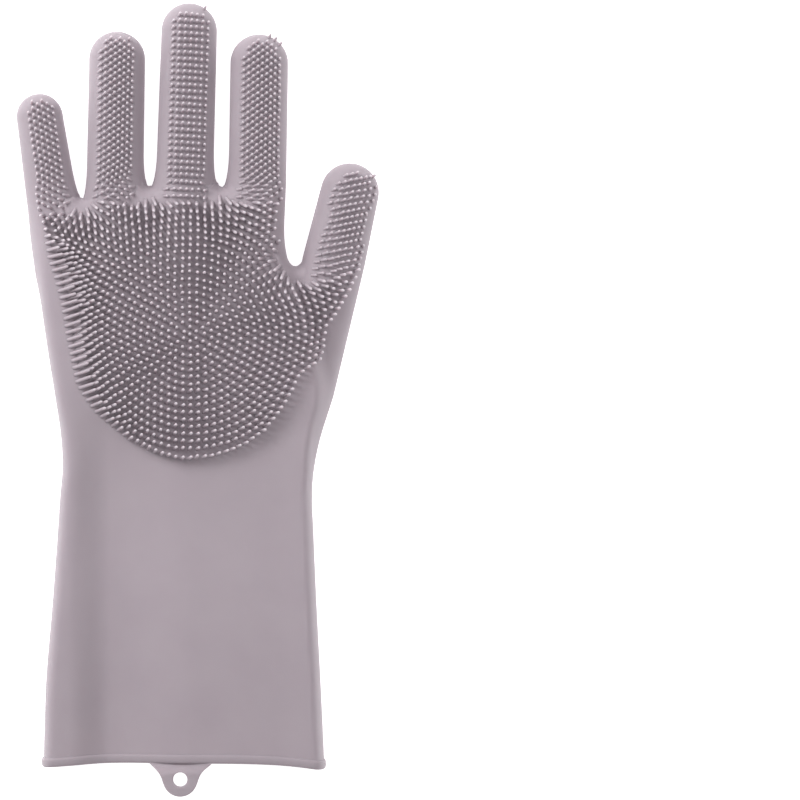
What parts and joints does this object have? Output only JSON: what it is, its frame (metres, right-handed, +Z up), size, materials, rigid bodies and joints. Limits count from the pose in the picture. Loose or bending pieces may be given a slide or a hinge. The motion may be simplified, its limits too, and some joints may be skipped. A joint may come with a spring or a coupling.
{
  "type": "grooming glove",
  "caption": "Long-cuffed silicone glove for the right hand with a palm, fingers and thumb covered in soft bristles, a rolled cuff edge and a hanging tab.",
  "frame": {"origin": "Under the middle of the glove's outline, on the surface it lies on, back of the hand down.", "axes": "+Y from the cuff to the fingertips, +X towards the thumb, +Z up, out of the bristled palm."},
  "size_m": [0.161, 0.3579, 0.0372],
  "materials": {
    "silicone": "matt",
    "silicone_bristles": "matt"
  },
  "bodies": {
    "hand": {"palm_shell": "silicone", "palm_bristles": "silicone_bristles", "wrist_band": "silicone", "little_knuckle_band": "silicone", "little_knuckle_bristles": "silicone_bristles", "ring_knuckle_band": "silicone", "ring_knuckle_bristles": "silicone_bristles", "middle_knuckle_band": "silicone", "middle_knuckle_bristles": "silicone_bristles", "index_knuckle_band": "silicone", "index_knuckle_bristles": "silicone_bristles", "thumb_knuckle_band": "silicone", "thumb_knuckle_bristles": "silicone_bristles"},
    "cuff": {"cuff_sleeve": "silicone", "cuff_bead": "silicone", "hanging_tab": "silicone"},
    "little_base": {"little_base_shell": "silicone", "little_base_bristles": "silicone_bristles", "little_tip_band": "silicone"},
    "little_tip": {"little_tip_shell": "silicone", "little_tip_bristles": "silicone_bristles"},
    "ring_base": {"ring_base_shell": "silicone", "ring_base_bristles": "silicone_bristles", "ring_mid_band": "silicone"},
    "ring_mid": {"ring_mid_shell": "silicone", "ring_mid_bristles": "silicone_bristles", "ring_tip_band": "silicone"},
    "ring_tip": {"ring_tip_shell": "silicone", "ring_tip_bristles": "silicone_bristles"},
    "middle_base": {"middle_base_shell": "silicone", "middle_base_bristles": "silicone_bristles", "middle_mid_band": "silicone"},
    "middle_mid": {"middle_mid_shell": "silicone", "middle_mid_bristles": "silicone_bristles", "middle_tip_band": "silicone"},
    "middle_tip": {"middle_tip_shell": "silicone", "middle_tip_bristles": "silicone_bristles"},
    "index_base": {"index_base_shell": "silicone", "index_base_bristles": "silicone_bristles", "index_mid_band": "silicone"},
    "index_mid": {"index_mid_shell": "silicone", "index_mid_bristles": "silicone_bristles", "index_tip_band": "silicone"},
    "index_tip": {"index_tip_shell": "silicone", "index_tip_bristles": "silicone_bristles"},
    "thumb_base": {"thumb_base_shell": "silicone", "thumb_base_bristles": "silicone_bristles", "thumb_tip_band": "silicone"},
    "thumb_tip": {"thumb_tip_shell": "silicone", "thumb_tip_bristles": "silicone_bristles"}
  },
  "joints": [
    {"name": "wrist_flex", "type": "hinge", "parent": "hand", "child": "cuff", "pos_m": [0, -0.042, 0.014], "axis": [-1, 0, 0], "range_deg": [0, 45], "stiffness_Nm_per_rad": 0.15, "deforming": ["wrist_band"]},
    {"name": "little_knuckle_bend", "type": "hinge", "parent": "hand", "child": "little_base", "pos_m": [-0.06705, 0.10112, 0.013], "axis": [0.9887, 0.1501, 0], "range_deg": [0, 60], "stiffness_Nm_per_rad": 0.02, "deforming": ["little_knuckle_band", "little_knuckle_bristles", "palm_bristles"]},
    {"name": "little_tip_bend", "type": "hinge", "parent": "little_base", "child": "little_tip", "pos_m": [-0.06967, 0.11842, 0.013], "axis": [0.9887, 0.1501, 0], "range_deg": [0, 60], "stiffness_Nm_per_rad": 0.02, "deforming": ["little_tip_band", "little_base_bristles", "little_tip_bristles"]},
    {"name": "ring_knuckle_bend", "type": "hinge", "parent": "hand", "child": "ring_base", "pos_m": [-0.03746, 0.10711, 0.014], "axis": [0.9998, -0.0179, 0], "range_deg": [0, 60], "stiffness_Nm_per_rad": 0.02, "deforming": ["ring_knuckle_band", "ring_knuckle_bristles"]},
    {"name": "ring_mid_bend", "type": "hinge", "parent": "ring_base", "child": "ring_mid", "pos_m": [-0.03712, 0.12611, 0.014], "axis": [0.9998, -0.0179, 0], "range_deg": [0, 75], "stiffness_Nm_per_rad": 0.02, "deforming": ["ring_mid_band", "ring_base_bristles"]},
    {"name": "ring_tip_bend", "type": "hinge", "parent": "ring_mid", "child": "ring_tip", "pos_m": [-0.03676, 0.1461, 0.014], "axis": [0.9998, -0.0179, 0], "range_deg": [0, 45], "stiffness_Nm_per_rad": 0.02, "deforming": ["ring_tip_band", "ring_mid_bristles", "ring_tip_bristles"]},
    {"name": "middle_knuckle_bend", "type": "hinge", "parent": "hand", "child": "middle_base", "pos_m": [-0.00541, 0.10793, 0.01425], "axis": [0.9995, -0.0311, 0], "range_deg": [0, 60], "stiffness_Nm_per_rad": 0.02, "deforming": ["middle_knuckle_band", "middle_knuckle_bristles"]},
    {"name": "middle_mid_bend", "type": "hinge", "parent": "middle_base", "child": "middle_mid", "pos_m": [-0.00463, 0.13292, 0.01425], "axis": [0.9995, -0.0311, 0], "range_deg": [0, 75], "stiffness_Nm_per_rad": 0.02, "deforming": ["middle_mid_band", "middle_base_bristles"]},
    {"name": "middle_tip_bend", "type": "hinge", "parent": "middle_mid", "child": "middle_tip", "pos_m": [-0.00388, 0.15691, 0.01425], "axis": [0.9995, -0.0311, 0], "range_deg": [0, 45], "stiffness_Nm_per_rad": 0.02, "deforming": ["middle_tip_band", "middle_mid_bristles", "middle_tip_bristles"]},
    {"name": "index_knuckle_bend", "type": "hinge", "parent": "hand", "child": "index_base", "pos_m": [0.02725, 0.10671, 0.014], "axis": [0.9999, -0.0164, 0], "range_deg": [0, 60], "stiffness_Nm_per_rad": 0.02, "deforming": ["index_knuckle_band", "index_knuckle_bristles"]},
    {"name": "index_mid_bend", "type": "hinge", "parent": "index_base", "child": "index_mid", "pos_m": [0.02756, 0.12571, 0.014], "axis": [0.9999, -0.0164, 0], "range_deg": [0, 75], "stiffness_Nm_per_rad": 0.02, "deforming": ["index_mid_band", "index_base_bristles"]},
    {"name": "index_tip_bend", "type": "hinge", "parent": "index_mid", "child": "index_tip", "pos_m": [0.02788, 0.1452, 0.014], "axis": [0.9999, -0.0164, 0], "range_deg": [0, 45], "stiffness_Nm_per_rad": 0.02, "deforming": ["index_tip_band", "index_mid_bristles", "index_tip_bristles"]},
    {"name": "thumb_knuckle_bend", "type": "hinge", "parent": "hand", "child": "thumb_base", "pos_m": [0.06269, 0.07319, 0.015], "axis": [0.974, -0.2267, 0], "range_deg": [0, 45], "stiffness_Nm_per_rad": 0.02, "deforming": ["thumb_knuckle_band", "thumb_knuckle_bristles"]},
    {"name": "thumb_tip_bend", "type": "hinge", "parent": "thumb_base", "child": "thumb_tip", "pos_m": [0.06655, 0.08974, 0.015], "axis": [0.974, -0.2267, 0], "range_deg": [0, 55], "stiffness_Nm_per_rad": 0.02, "deforming": ["thumb_tip_band", "thumb_base_bristles", "thumb_tip_bristles"]}
  ],
  "couplings": [
    {"joint": "ring_tip_bend", "follows": "ring_mid_bend", "ratio": 0.6},
    {"joint": "middle_tip_bend", "follows": "middle_mid_bend", "ratio": 0.6},
    {"joint": "index_tip_bend", "follows": "index_mid_bend", "ratio": 0.6}
  ]
}
